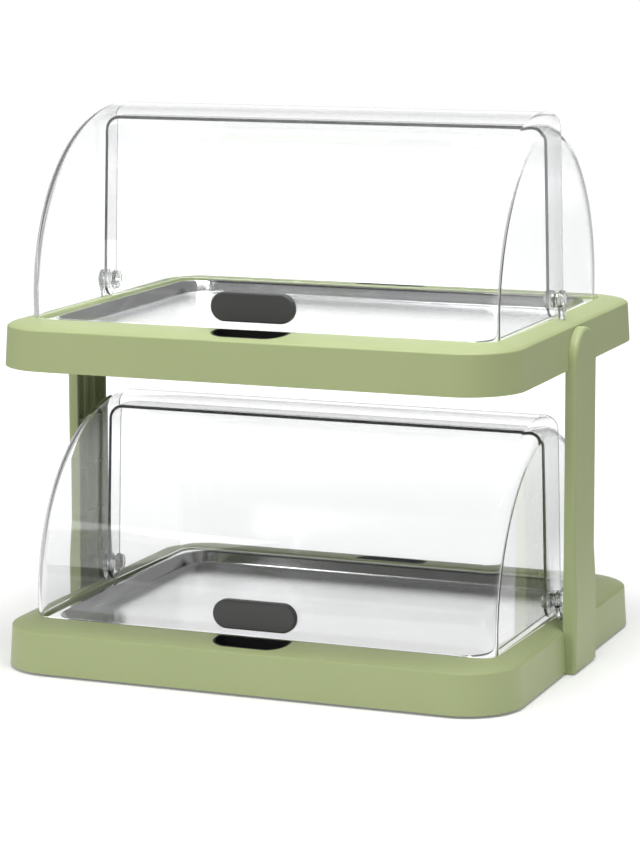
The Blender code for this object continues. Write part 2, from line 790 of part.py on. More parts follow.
def pivot_knob(tier, side_name, side, height, look):
    """Clear knob inside the cover, with the pin that both halves turn on."""
    inner_face = inner_half_length - cover_sheet - knob_gap
    bm = bmesh.new()
    add_turned(
        bm,
        [
            (knob_radius, inner_face - knob_length),
            (knob_radius, inner_face),
            (pin_radius, inner_face),
            (pin_radius, bracket_outer),
        ],
        bore_sides,
    )
    bmesh.ops.rotate(bm, verts=bm.verts, cent=(0, 0, 0), matrix=Matrix.Rotation(side * pi / 2, 3, "Y"))
    add_object(f"{tier}_{side_name}_pivot_knob", bm, look, (0, 0, height + pivot_height))


def build():
    green_look = material("moulded green plastic", green, 0.45)
    plate_look = material("underside plate", (0.30, 0.35, 0.18), 0.55)
    steel_look = material("stainless steel", steel, 0.28, 1.0)
    clear_look = material("clear polycarbonate", clear, 0.05, 0.0, 0.25)
    grip_look = material("dark grey grip", (0.09, 0.09, 0.088), 0.4)
    black_look = material("black liner", (0.012, 0.012, 0.012), 0.5)
    pack_look = material("cooling pack", (0.55, 0.68, 0.78), 0.4)
    screw_look = material("zinc screw", (0.50, 0.50, 0.48), 0.35, 1.0)
    rubber_look = material("foot rubber", (0.03, 0.03, 0.03), 0.8)

    feet(rubber_look)
    for side_name, side in sides.items():
        post(side_name, side, green_look)
    for tier, height in tiers.items():
        housing(tier, height, green_look)
        underside_plate(tier, height, plate_look)
        plate_screws(tier, height, screw_look)
        pan(tier, height, steel_look)
        cooling_packs(tier, height, pack_look)
        for end_name, end in ends.items():
            finger_liner(tier, end_name, end, height, black_look)
            cover = cover_half(tier, end_name, end, height, clear_look)
            if end_name == "front":
                grip(tier, cover, grip_look)
        for side_name, side in sides.items():
            post_screws(tier, height, side_name, side, screw_look)
            pivot_bracket(tier, side_name, side, height, clear_look)
            pivot_knob(tier, side_name, side, height, clear_look)


build()
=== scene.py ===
from math import atan, cos, pi, radians, sin, sqrt

import bmesh
import bpy
from mathutils import Matrix, Vector


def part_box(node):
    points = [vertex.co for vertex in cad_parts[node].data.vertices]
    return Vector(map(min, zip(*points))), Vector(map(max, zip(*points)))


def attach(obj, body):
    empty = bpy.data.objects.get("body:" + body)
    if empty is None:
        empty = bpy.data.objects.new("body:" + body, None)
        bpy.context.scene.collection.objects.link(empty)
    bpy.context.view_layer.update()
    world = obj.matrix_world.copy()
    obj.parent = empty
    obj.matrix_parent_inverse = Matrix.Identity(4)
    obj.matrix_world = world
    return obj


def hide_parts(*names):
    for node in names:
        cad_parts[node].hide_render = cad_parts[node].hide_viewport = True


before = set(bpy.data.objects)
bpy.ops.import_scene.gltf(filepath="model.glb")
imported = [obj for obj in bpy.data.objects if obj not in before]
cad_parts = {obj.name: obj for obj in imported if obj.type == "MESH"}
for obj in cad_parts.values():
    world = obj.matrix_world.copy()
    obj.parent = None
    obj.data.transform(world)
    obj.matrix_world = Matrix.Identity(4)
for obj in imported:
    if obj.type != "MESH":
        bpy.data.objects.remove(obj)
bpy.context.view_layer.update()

mm = 0.001
tray_bottoms = {"lower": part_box("base_housing")[0].z, "upper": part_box("upper_housing")[0].z}
sides = {"left": -1, "right": 1}
ends = {"front": -1, "rear": 1}


# Tray housings
# Two injection mouldings in satin sage green plastic, one for each tier: a drafted side, a crowned rim, an upright
# lip round the mouth and a well for the cooling packs. The skin is bridged between rounded rings and then cut.
side_height = 32.5 * mm
side_draft = 2.0 * mm
side_edge_round = 1.5 * mm
tray_side_x = 213.2 * mm
tray_side_y = 181.7 * mm
tray_corner = 47.0 * mm
mouth_x = 190.5 * mm
mouth_y = 146.0 * mm
mouth_corner = 14.0 * mm
lip_height = 36.5 * mm
lip_round = 0.6 * mm
ledge_height = 33.4 * mm
skin = 2.8 * mm
well_x = 182.0 * mm
well_y = 138.0 * mm
well_corner = 28.0 * mm
well_lean = 2.0 * mm
well_fillet = 3.0 * mm
well_floor = 6.0 * mm
well_base_corner = 26.0 * mm
well_floor_corner = 23.0 * mm
well_under_corner = 29.0 * mm
well_under_rise = 0.4 * mm
foot_lead_in = 0.1 * mm
foot_chamfer = 0.4 * mm
foot_chamfer_height = 0.5 * mm
crown_rings = 9
edge_rings = 4
corner_segments = 22

post_half_width = 27.7 * mm
post_notch_x = 211.5 * mm
post_shoulder = 246.8 * mm
post_boot_half_width = 28.7 * mm
post_boot_full = 59.5 * mm
post_boot_start = 94.5 * mm
post_seat_depth = 8.0 * mm
post_seat_half_width = 34.0 * mm
seat_gap = 0.3 * mm
overrun = 3.0 * mm
bracket_near = 198.2 * mm
bracket_far = 202.2 * mm
bracket_foot_half_width = 2.5 * mm
bracket_foot_depth = 10.0 * mm
recess_half_length = 31.0 * mm
recess_near = 148.2 * mm
recess_far = 173.2 * mm
recess_corner = 15.5 * mm
recess_back_corner = 3.5 * mm
recess_floor = 22.42 * mm
liner_wall = 1.5 * mm


class Number:
    """A socket that carries a number through a material. Arithmetic on it adds Math nodes."""

    def __init__(self, look, socket):
        self.look = look
        self.socket = socket

    def math(self, operation, *values):
        return self.look.node("ShaderNodeMath", {"operation": operation}, dict(enumerate(values)))

    def __add__(self, other):
        return self.math("ADD", self, other)

    def __sub__(self, other):
        return self.math("SUBTRACT", self, other)

    def __rsub__(self, other):
        return self.math("SUBTRACT", other, self)

    def __mul__(self, other):
        return self.math("MULTIPLY", self, other)

    def __truediv__(self, other):
        return self.math("DIVIDE", self, other)

    def above(self, level, width):
        """0 below the level and 1 above it, with a soft edge of that width."""
        stops = {1: level - width / 2, 2: level + width / 2, 3: 0.0, 4: 1.0}
        return self.look.node("ShaderNodeMapRange", {"interpolation_type": "SMOOTHSTEP"}, {0: self, **stops})

    __radd__ = __add__
    __rmul__ = __mul__


class Look:
    """A material with one Principled shader and the nodes that feed it."""

    def __init__(self, name, **constants):
        self.material = bpy.data.materials.new(name)
        self.material.use_nodes = True
        self.tree = self.material.node_tree
        self.shader = self.tree.nodes["Principled BSDF"]
        self.output = self.tree.nodes["Material Output"]
        for socket, value in constants.items():
            self.shader.inputs[socket.replace("_", " ")].default_value = value
        self.place = self.node("ShaderNodeTexCoord", output="Object")

    def node(self, kind, settings=(), values=(), output=0):
        """Adds a node: its settings first, then the values or links of its sockets. Returns one output."""
        made = self.tree.nodes.new(kind)
        for name, value in dict(settings).items():
            setattr(made, name, value)
        for name, value in dict(values).items():
            self.feed(made.inputs[name], value)
        return Number(self, made.outputs[output])

    def feed(self, socket, value):
        if isinstance(value, Number):
            self.tree.links.new(value.socket, socket)
        else:
            socket.default_value = value

    def noise(self, size, detail=2.0, stretch=(1, 1, 1), place=None):
        """Noise from 0 to 1 with features of that size, drawn out along an axis by its stretch."""
        scale = tuple(1 / (size * s) for s in stretch)
        moved = self.node("ShaderNodeMapping", {}, {"Vector": place or self.place, "Scale": scale})
        return self.node("ShaderNodeTexNoise", {}, {"Vector": moved, "Scale": 1.0, "Detail": detail})

    def blend(self, factor, first, second):
        """From the first colour to the second."""
        return self.node("ShaderNodeMix", {"data_type": "RGBA"}, {0: factor, 6: first, 7: second}, output=2)

    def paint(self, **links):
        for socket, value in links.items():
            self.feed(self.shader.inputs[socket.replace("_", " ")], value)

    def bump(self, height, depth, strength=1.0):
        """Raises the surface by up to depth where height is 1."""
        made = self.node("ShaderNodeBump", {}, {"Height": height, "Distance": depth, "Strength": strength})
        self.feed(self.shader.inputs["Normal"], made)


def rounded_ring(bm, half_x, half_y, corner, height, segments=corner_segments):
    """A level ring of edges: a rectangle with round corners."""
    plate = bmesh.ops.create_grid(bm, x_segments=1, y_segments=1, size=1)["verts"]
    bmesh.ops.scale(bm, vec=(half_x, half_y, 1), verts=plate)
    bmesh.ops.translate(bm, vec=(0, 0, height), verts=plate)
    rounded = bmesh.ops.bevel(
        bm,
        geom=plate,
        offset=corner,
        offset_type="OFFSET",
        segments=segments,
        profile=0.5,
        affect="VERTICES",
        material=-1,
    )["verts"]
    face = rounded[0].link_faces[0]
    edges = face.edges[:]
    bmesh.ops.delete(bm, geom=[face], context="FACES_ONLY")
    return edges


def bridged(rings, segments=corner_segments):
    """A closed skin through rings given as (half x, half y, corner, height), with its two ends filled."""
    bm = bmesh.new()
    for below, above in zip(rings, rings[1:]):
        band = rounded_ring(bm, *below, segments) + rounded_ring(bm, *above, segments)
        bmesh.ops.bridge_loops(bm, edges=band)
    for end in (rings[0], rings[-1]):
        bmesh.ops.contextual_create(bm, geom=rounded_ring(bm, *end, segments))
    bmesh.ops.remove_doubles(bm, verts=bm.verts, dist=0.001 * mm)
    bmesh.ops.recalc_face_normals(bm, faces=bm.faces)
    return bm


def as_object(name, bm, sharp=radians(35)):
    bmesh.ops.recalc_face_normals(bm, faces=bm.faces)
    mesh = bpy.data.meshes.new(name)
    bm.to_mesh(mesh)
    bm.free()
    mesh.shade_smooth()
    mesh.set_sharp_from_angle(angle=sharp)
    made = bpy.data.objects.new(name, mesh)
    bpy.context.scene.collection.objects.link(made)
    return made


def carve(piece, steps, sharp=radians(35)):
    """Cuts or joins shapes, given as (operation, bmesh) in order, and keeps the result as the piece's own mesh."""
    tools = []
    for operation, shape in steps:
        tool = as_object(f"{piece.name} {operation.lower()}", shape)
        change = piece.modifiers.new(tool.name, "BOOLEAN")
        change.operation = operation
        change.solver = "EXACT"
        change.object = tool
        tools.append(tool)
    bpy.context.view_layer.update()
    result = bpy.data.meshes.new_from_object(piece.evaluated_get(bpy.context.evaluated_depsgraph_get()))
    piece.modifiers.clear()
    piece.data = result
    for tool in tools:
        bpy.data.objects.remove(tool)
    result.shade_smooth()
    result.set_sharp_from_angle(angle=sharp)
    return piece


def settle(piece, look, body, slot, *nodes):
    """Dresses a finished piece, hangs it on its body and hides the solids that it stands for."""
    shading = piece.modifiers.new("even shading", "WEIGHTED_NORMAL")
    shading.keep_sharp = True
    piece.data.materials.clear()
    piece.data.materials.append(look.material)
    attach(piece, body)
    if nodes:
        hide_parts(*nodes)
    return piece


def add_block(bm, low, high):
    low, high = Vector(low), Vector(high)
    place = Matrix.Translation((low + high) / 2) @ Matrix.Diagonal((*(high - low), 1))
    return bmesh.ops.create_cube(bm, size=1, matrix=place)["verts"]


def add_rod(bm, start, end, radius, segments=32, end_radius=None):
    """A round bar between two points, tapered if its end has another radius."""
    start, end = Vector(start), Vector(end)
    along = end - start
    place = Matrix.Translation((start + end) / 2) @ along.to_track_quat("Z", "Y").to_matrix().to_4x4()
    tip = radius if end_radius is None else end_radius
    return bmesh.ops.create_cone(
        bm, cap_ends=True, segments=segments, radius1=radius, radius2=tip, depth=along.length, matrix=place
    )["verts"]


def add_slab(bm, outline, axis, low, high):
    """A flat outline, (x, y), (x, z) or (y, z), extruded along the remaining axis."""
    verts = []
    for point in outline:
        values = list(point)
        values.insert("XYZ".index(axis), low)
        verts.append(bm.verts.new(values))
    start = bm.faces.new(verts)
    grown = bmesh.ops.extrude_face_region(bm, geom=[start], use_keep_orig=True)["geom"]
    moved = [v for v in grown if isinstance(v, bmesh.types.BMVert)]
    bmesh.ops.translate(bm, verts=moved, vec=[(high - low) if name == axis else 0 for name in "XYZ"])
    bmesh.ops.recalc_face_normals(bm, faces=bm.faces)
    return verts, moved


def arc(centre, radius, start, end, steps):
    turns = [start + (end - start) * i / steps for i in range(steps + 1)]
    return [(centre[0] + radius * cos(turn), centre[1] + radius * sin(turn)) for turn in turns]


def crown_height(share):
    """Height of the rim's outer surface at a share of the way in from the side to the lip."""
    return side_height + (lip_height - side_height) * (1 - (1 - share) ** 2)


def housing_rings():
    rim_x, rim_y = tray_side_x - mouth_x, tray_side_y - mouth_y
    top_corner = tray_corner - side_draft
    rings = [
        (well_x - well_lean - well_fillet, well_y - well_lean - well_fillet, well_floor_corner, well_floor),
        (well_x - well_lean, well_y - well_lean, well_base_corner, well_floor + well_fillet),
        (well_x, well_y, well_corner, ledge_height),
        (mouth_x, mouth_y, mouth_corner, ledge_height),
        (mouth_x, mouth_y, mouth_corner, lip_height - lip_round),
        (mouth_x + lip_round / 4, mouth_y + lip_round / 4, mouth_corner, lip_height - lip_round / 4),
        (mouth_x + lip_round, mouth_y + lip_round, mouth_corner + lip_round, lip_height),
    ]
    for step in range(crown_rings, 0, -1):
        share = step / (crown_rings + 1)
        corner = top_corner + (mouth_corner - top_corner) * share
        rings.append((tray_side_x - share * rim_x, tray_side_y - share * rim_y, corner, crown_height(share)))
    for step in range(edge_rings, -1, -1):
        turn = step / edge_rings * pi / 2
        inward = side_edge_round * (1 - cos(turn))
        drop = side_edge_round * (1 - sin(turn))
        rings.append((tray_side_x - inward, tray_side_y - inward, top_corner - inward, side_height - drop))
    outer = (tray_side_x + side_draft, tray_side_y + side_draft)
    under_x, under_y = well_x - well_lean + skin, well_y - well_lean + skin
    rings += [
        (outer[0] - foot_lead_in, outer[1] - foot_lead_in, tray_corner, foot_chamfer_height),
        (outer[0] - foot_chamfer, outer[1] - foot_chamfer, tray_corner, 0),
        (outer[0] - skin, outer[1] - skin, tray_corner - skin, 0),
        (tray_side_x - skin, tray_side_y - skin, top_corner - skin, side_height - skin),
        (mouth_x + skin, mouth_y + skin, mouth_corner + skin, lip_height - skin),
        (mouth_x + skin, mouth_y + skin, mouth_corner + skin, ledge_height - skin),
        (well_x + skin, well_y + skin, well_corner + skin, ledge_height - skin),
        (under_x, under_y, well_under_corner, skin + well_fillet + well_under_rise),
        (well_x - well_lean, well_y - well_lean, well_base_corner, well_floor - skin),
    ]
    return rings


def post_outline(bottom, grow=0.0, inset=0.0, steps=48):
    """Side view of a post: (y, z), with a half-round top and a slightly wider boot."""
    half = post_half_width + grow - inset
    boot = post_boot_half_width + grow - inset
    right = [(boot, bottom), (boot, post_boot_full), (half, post_boot_start)]
    top = arc((0, post_shoulder), half, 0, pi, steps)
    return right + top + [(-y, z) for y, z in reversed(right)]


def recess_outline(end, grow):
    """Top view of a finger recess: (x, y), with wide corners at its far side."""
    far_round, near_round = recess_corner + grow, recess_back_corner + grow
    half, near, far = recess_half_length + grow, recess_near - grow, recess_far + grow
    points = arc((half - near_round, near + near_round), near_round, -pi / 2, 0, 8)
    points += arc((half - far_round, far - far_round), far_round, 0, pi / 2, 24)
    points += [(-x, y) for x, y in reversed(points)]
    return [(x, end * y) for x, y in points]


green_plastic = Look(
    "sage green moulded plastic", Base_Color=(0.40, 0.46, 0.24, 1), Roughness=0.42, Specular_IOR_Level=0.45
)
clouding = green_plastic.noise(90 * mm, 2.0)
graining = green_plastic.noise(0.9 * mm, 3.0)
green_plastic.paint(
    Base_Color=green_plastic.blend(clouding, (0.385, 0.445, 0.215, 1), (0.415, 0.475, 0.237, 1)),
    Roughness=0.38 + graining * 0.1,
)
green_plastic.bump(graining, 0.05 * mm, 0.35)


def housing(tier, bottom):
    node = "base_housing" if tier == "lower" else "upper_housing"
    piece = as_object(f"{tier}_tray_moulding", bridged(housing_rings()))
    cuts = bmesh.new()
    for side in sides.values():
        near, far = sorted((side * post_notch_x, side * (tray_side_x + side_draft + overrun)))
        outline = [(y, z - bottom) for y, z in post_outline(-overrun, grow=seat_gap)]
        add_slab(cuts, outline, "X", near, far)
        near, far = sorted((side * (bracket_near - seat_gap), side * (bracket_far + seat_gap)))
        slot = bracket_foot_half_width + seat_gap
        add_block(cuts, (near, -slot, side_height - bracket_foot_depth), (far, slot, lip_height + overrun))
    for end in ends.values():
        low = recess_floor - liner_wall - seat_gap
        add_slab(cuts, recess_outline(end, seat_gap), "Z", low, lip_height + overrun)
    seats = bmesh.new()
    for side in sides.values():
        near, far = sorted((side * (post_notch_x - post_seat_depth), side * (tray_side_x - seat_gap)))
        low = (near, -post_seat_half_width, skin + seat_gap)
        add_block(seats, low, (far, post_seat_half_width, side_height - lip_round))
    carve(piece, [("UNION", seats), ("DIFFERENCE", cuts)])
    piece.data.transform(Matrix.Translation((0, 0, bottom)))
    settle(piece, green_plastic, "stand", "green_plastic", node)


for tier, bottom in tray_bottoms.items():
    housing(tier, bottom)


# Underside plates, screws and feet
# A flat matt plate closes each tray from below, held by zinc screws in bosses. The base stands on low rubber feet.
# The solids keep their shapes and only get their finishes.
# The plate's dark neutral grey is partly its own darker matt plastic and partly painted shade, so the underside
# shows dark in the pans.
plate_plastic = Look("matt underside plastic", Base_Color=(0.12, 0.125, 0.11, 1), Roughness=0.6)
plate_grain = plate_plastic.noise(0.7 * mm, 2.0)
plate_plastic.paint(Roughness=0.52 + plate_grain * 0.16)
plate_plastic.bump(plate_grain, 0.08 * mm, 0.5)

zinc = Look("zinc plate", Base_Color=(0.50, 0.50, 0.48, 1), Roughness=0.35, Metallic=1.0)
zinc_mottle = zinc.noise(2 * mm, 3.0)
zinc.paint(
    Base_Color=zinc.blend(zinc_mottle, (0.46, 0.46, 0.45, 1), (0.58, 0.57, 0.53, 1)),
    Roughness=0.28 + zinc_mottle * 0.18,
)

rubber = Look("foot rubber", Base_Color=(0.025, 0.025, 0.025, 1), Roughness=0.85)
rubber_grain = rubber.noise(0.5 * mm, 2.0)
rubber.paint(Base_Color=rubber.blend(rubber_grain, (0.018, 0.018, 0.018, 1), (0.04, 0.04, 0.038, 1)))
rubber.bump(rubber_grain, 0.06 * mm, 0.5)

pack_shell = Look("cooling pack shell", Base_Color=(0.55, 0.68, 0.78, 1), Roughness=0.4)
pack_haze = pack_shell.noise(25 * mm, 3.0)
pack_shell.paint(
    Base_Color=pack_shell.blend(pack_haze, (0.50, 0.64, 0.76, 1), (0.62, 0.73, 0.82, 1)),
    Roughness=0.35 + pack_haze * 0.15,
)
pack_shell.bump(pack_haze, 0.6 * mm, 0.4)


def dress(look, *words):
    """Gives this finish to every solid whose name holds one of the words."""
    for name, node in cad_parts.items():
        if any(word in name for word in words):
            node.data.materials.clear()
            node.data.materials.append(look.material)


dress(plate_plastic, "underside_plate")
dress(zinc, "screw")
dress(rubber, "foot_")
dress(pack_shell, "cooling_pack")


# Side posts
# Each post is a green moulding with a flat outer skin, a flange all round and a grid of ribs open to the inside,
# as deep as the trays let it in. Its top is half round, and its foot flares a little to the boot.
post_inner = 211.8 * mm
post_outer = 221.0 * mm
post_boot_flare = 2.0 * mm
post_bottom = 0.5 * mm
post_flange = 2.5 * mm
post_edge_radius = 3.5 * mm
post_edge_segments = 6
post_inner_edge_radius = 0.4 * mm
cell_corner = 0.8 * mm
rib_face = 214.4 * mm
rib_back = 218.0 * mm
rib_half = 0.8 * mm
rib_offset = 9.2 * mm
rib_heights = [54.9 * mm + 40.3 * mm * i for i in range(5)]
rib_zone = (32.9 * mm, 243.5 * mm)
post_screw_spread = 14.0 * mm
post_screw_rise = 16.25 * mm
post_boss_radius = 4.6 * mm
post_boss_overlap = 1.0 * mm
post_bore_radius = 2.3 * mm


def post(name, side):
    bm = bmesh.new()
    outline = post_outline(post_bottom)
    inner, outer = add_slab(bm, outline, "X", side * post_inner, side * post_outer)
    for height in (post_boot_full, post_boot_start):
        bmesh.ops.connect_verts(bm, verts=[v for v in outer if abs(v.co.z - height) < seat_gap])
    for vert in outer:
        if vert.co.z < post_boot_full + seat_gap:
            vert.co.x += side * post_boot_flare
    rounds = ((outer, post_edge_radius, post_edge_segments), (inner, post_inner_edge_radius, 2))
    for group, offset, segments in rounds:
        rim = [e for e in bm.edges if all(v in group for v in e.verts) and e.calc_face_angle(0) > 1]
        bmesh.ops.bevel(bm, geom=rim, offset=offset, segments=segments, profile=0.5, affect="EDGES", material=-1)
    piece = as_object(f"{name}_post_moulding", bm)

    pocket = bmesh.new()
    near, far = sorted((side * (post_inner - overrun), side * rib_face))
    add_slab(pocket, post_outline(post_bottom + post_flange, inset=post_flange), "X", near, far)
    cells = bmesh.new()
    near, far = sorted((side * (post_inner - overrun), side * rib_back))
    edge = post_half_width - post_flange - rib_half / 2
    levels = [rib_zone[0] - rib_half, *rib_heights, rib_zone[1] + rib_half]
    columns = (
        (-edge, -rib_offset - rib_half),
        (-rib_offset + rib_half, rib_offset - rib_half),
        (rib_offset + rib_half, edge),
    )
    for low_y, high_y in columns:
        for low_z, high_z in zip(levels, levels[1:]):
            verts = add_block(cells, (near, low_y, low_z + rib_half), (far, high_y, high_z - rib_half))
            edges = {e for v in verts for e in v.link_edges}
            bmesh.ops.bevel(
                cells, geom=list(edges), offset=cell_corner, segments=3, profile=0.5, affect="EDGES", material=-1
            )
    bosses = bmesh.new()
    bores = bmesh.new()
    for bottom in tray_bottoms.values():
        for end in ends.values():
            y, z = end * post_screw_spread, bottom + post_screw_rise
            boss_end = side * (rib_face + post_boss_overlap)
            add_rod(bosses, (side * post_inner, y, z), (boss_end, y, z), post_boss_radius)
            add_rod(bores, (side * (post_inner - overrun), y, z), (side * rib_back, y, z), post_bore_radius)
    carve(piece, [("DIFFERENCE", pocket), ("DIFFERENCE", cells), ("UNION", bosses), ("DIFFERENCE", bores)])
    settle(piece, green_plastic, "stand", "green_plastic", f"post_{name}")


for name, side in sides.items():
    post(name, side)


# Steel pans
# Shallow pans pressed from 0.8 mm stainless sheet, satin inside, with a flat flange on the tray's ledge, a low
# rolled bead and steep walls. The skin is bridged between rings that follow the press tool's radii.
pan_sheet = 0.8 * mm
pan_edge = (190.0 * mm, 145.5 * mm)
pan_wall = (181.5 * mm, 138.0 * mm)
pan_corner = 26.0 * mm
pan_top = 34.5 * mm
pan_depth = 10.0 * mm
pan_lean = 4.0 * mm
pan_fillet = 2.5 * mm
bead_width = 2.4 * mm
bead_height = 0.7 * mm
bead_steps = 8
pan_edge_gap = 0.5 * mm
pan_edge_round = 0.2 * mm
fillet_steps = 5
polish_start = 1.2 * mm


def pan_rings():
    floor = pan_top - pan_depth
    low = (pan_wall[0] - pan_lean, pan_wall[1] - pan_lean)
    low_corner = pan_corner - pan_lean
    rings = []
    for step in range(fillet_steps + 1):
        turn = step / fillet_steps * pi / 2
        inward = pan_fillet * (1 - sin(turn))
        rings.append((low[0] - inward, low[1] - inward, low_corner - inward, floor + pan_fillet * (1 - cos(turn))))
    for step in range(bead_steps + 1):
        out = bead_width * step / bead_steps
        rise = bead_height * sin(pi * step / bead_steps)
        rings.append((pan_wall[0] + out, pan_wall[1] + out, pan_corner + out, pan_top + rise))
    edge_corner = mouth_corner - pan_edge_gap
    rings += [
        (pan_edge[0] - pan_edge_round, pan_edge[1] - pan_edge_round, edge_corner, pan_top),
        (*pan_edge, edge_corner, pan_top - pan_edge_round),
        (*pan_edge, edge_corner, pan_top - pan_sheet),
        (pan_wall[0] + pan_sheet, pan_wall[1] + pan_sheet, pan_corner + pan_sheet, pan_top - pan_sheet),
    ]
    for step in range(fillet_steps, -1, -1):
        turn = step / fillet_steps * pi / 2
        inward = pan_fillet * (1 - sin(turn)) - pan_sheet
        height = floor + pan_fillet * (1 - cos(turn)) - pan_sheet
        rings.append((low[0] - inward, low[1] - inward, low_corner - inward, height))
    return rings


def steel_look(tier, pan_floor):
    """Brushed satin on the floor and a smoother finish on the drawn walls and the flange."""
    look = Look(f"{tier} satin stainless steel", Base_Color=(0.90, 0.90, 0.90, 1), Metallic=1.0, Roughness=0.22)
    rolling = look.noise(0.25 * mm, 2.0, stretch=(60, 1, 1))
    smudges = look.noise(45 * mm, 3.0)
    height = look.node("ShaderNodeSeparateXYZ", {}, {0: look.place}, output="Z")
    drawn = height.above(pan_floor + polish_start, polish_start)
    look.paint(
        Base_Color=look.blend(rolling, (0.86, 0.86, 0.865, 1), (0.94, 0.94, 0.94, 1)),
        Metallic=0.8 + drawn * 0.2,
        Roughness=0.17 + rolling * 0.05 + smudges * 0.05 - drawn * 0.1,
    )
    look.bump(rolling, 0.01 * mm, 0.25)
    return look


for tier, bottom in tray_bottoms.items():
    steel = steel_look(tier, bottom + pan_top - pan_depth)
    bm = bridged(pan_rings())
    bmesh.ops.translate(bm, vec=(0, 0, bottom), verts=bm.verts)
    piece = as_object(f"{tier}_steel_pan", bm, radians(25))
    settle(piece, steel, "stand", "stainless_steel", f"{tier}_pan")


# Roll-top covers
# Each cover half is a quarter drum vacuum formed from 2.4 mm clear polycarbonate with round bends at its end
# panels. The front half is the outer one. A closed section is spun about the pivots and trimmed to its outline.
pivot_rise = 51.1 * mm
pivot_radius = 5.3 * mm
sheet = 2.4 * mm
lean_share = 0.0248
foot_drop = 14.1 * mm
band_half = 13.2 * mm
cover_sizes = {"front": (147.8 * mm, 197.6 * mm, 12.0 * mm), "rear": (137.3 * mm, 192.4 * mm, 10.0 * mm)}
cover_fillet = 12.0 * mm
drum_steps = 144
bend_steps = 10
peg_spread = 20.0 * mm
peg_radius = 2.2 * mm
grip_rise = 3.4 * mm


def clear_look(name, tint, roughness, gloss):
    """Clear plastic that lets the lamps through to what it covers."""
    look = Look(
        name, Base_Color=tint, Roughness=roughness, IOR=1.5, Specular_IOR_Level=gloss, Transmission_Weight=1.0
    )
    shadow = look.node("ShaderNodeLightPath", output="Is Shadow Ray")
    open_way = look.node("ShaderNodeBsdfTransparent", {}, {"Color": (0.96, 0.97, 0.97, 1)})
    mixed = look.node("ShaderNodeMixShader", {}, {0: shadow, 2: open_way})
    look.tree.links.new(look.shader.outputs[0], mixed.socket.node.inputs[1])
    look.tree.links.new(mixed.socket, look.output.inputs["Surface"])
    return look


def clear_sheet(end_name, edge_y):
    """Polished faces with a faint haze, and a milky sawn edge in the plane where the half is cut."""
    look = clear_look(f"clear polycarbonate, {end_name}", (0.945, 0.949, 0.951, 1), 0.0, 0.35)
    haze = look.noise(60 * mm, 2.0)
    depth = look.node("ShaderNodeSeparateXYZ", {}, {0: look.place}, output="Y")
    sawn = (depth * (1 if edge_y > 0 else -1)).above(abs(edge_y) - sawn_depth / 2, sawn_depth / 2)
    look.paint(Roughness=haze * 0.02 + sawn * 0.9)
    return look


sawn_depth = 0.2 * mm
clear_sheets = {name: clear_sheet(name, -end * band_half) for name, end in ends.items()}


def drum_section(half_length, radius, fillet):
    """Half of a cover's section: (x, distance from the pivots), from an end panel's bore to the middle."""
    lean = atan(lean_share)
    centre_r = radius - fillet
    centre_x = half_length - lean_share * centre_r - fillet / cos(lean)
    points = [(half_length - lean_share * pivot_radius, pivot_radius)]
    points += [(half_length - lean_share * r, r) for r in (foot_drop, foot_drop * 3)]
    points += arc((centre_x, centre_r), fillet, -lean, pi / 2, bend_steps)
    return points


def cover_half(tier, end_name, end, bottom):
    radius, half_length, fillet = cover_sizes[end_name]
    outside = drum_section(half_length, radius, cover_fillet)
    inside = drum_section(half_length - sheet, radius - sheet, cover_fillet - sheet)
    loop = outside + [(-x, r) for x, r in reversed(outside)] + [(-x, r) for x, r in inside] + inside[::-1]
    bm = bmesh.new()
    verts = [bm.verts.new((x, 0, r)) for x, r in loop]
    edges = [bm.edges.new((verts[i - 1], verts[i])) for i in range(len(verts))]
    bmesh.ops.spin(
        bm, geom=verts + edges, cent=(0, 0, 0), axis=(1, 0, 0), angle=2 * pi, steps=drum_steps, use_merge=True
    )
    piece = as_object(f"{tier}_{end_name}_clear_cover", bm)

    far = radius + overrun
    drop = sqrt(foot_drop**2 - band_half**2)
    ear = arc((0, 0), foot_drop, -pi / 2, -atan(drop / band_half), 12)
    outline = [(-far, far), (-far, -foot_drop), *ear, (band_half, far)]
    shape = bmesh.new()
    add_slab(shape, [(-end * y, z) for y, z in outline], "X", -half_length - overrun, half_length + overrun)
    steps = [("INTERSECT", shape)]
    if end_name == "front":
        holes = bmesh.new()
        for side in sides.values():
            x = side * peg_spread
            start, stop = (x, cover_fillet - radius, grip_rise), (x, -radius - overrun, grip_rise)
            add_rod(holes, start, stop, peg_radius + seat_gap)
        steps.append(("DIFFERENCE", holes))
    carve(piece, steps)
    piece.data.transform(Matrix.Translation((0, 0, bottom + pivot_rise)))
    settle(piece, clear_sheets[end_name], f"{tier}_{end_name}_half", "clear_plastic", f"{tier}_{end_name}_cover")


for tier, bottom in tray_bottoms.items():
    for end_name, end in ends.items():
        cover_half(tier, end_name, end, bottom)


# Grips
# Dark grey moulded pills on the front halves, with a soft edge and a fine satin face, held by two pegs through
# the sheet. The back follows the drum.
grip_half_length = 34.75 * mm
grip_half_height = 11.5 * mm
grip_thickness = 6.0 * mm
grip_edge_radius = 1.6 * mm
grip_stock = 2.0 * mm
peg_head = 0.8 * mm

grip_plastic = Look("dark grey grip plastic", Base_Color=(0.06, 0.06, 0.059, 1), Roughness=0.4)
grip_grain = grip_plastic.noise(0.5 * mm, 2.0)
grip_plastic.paint(
    Base_Color=grip_plastic.blend(grip_grain, (0.054, 0.054, 0.053, 1), (0.068, 0.068, 0.067, 1)),
    Roughness=0.36 + grip_grain * 0.12,
)
grip_plastic.bump(grip_grain, 0.04 * mm, 0.4)


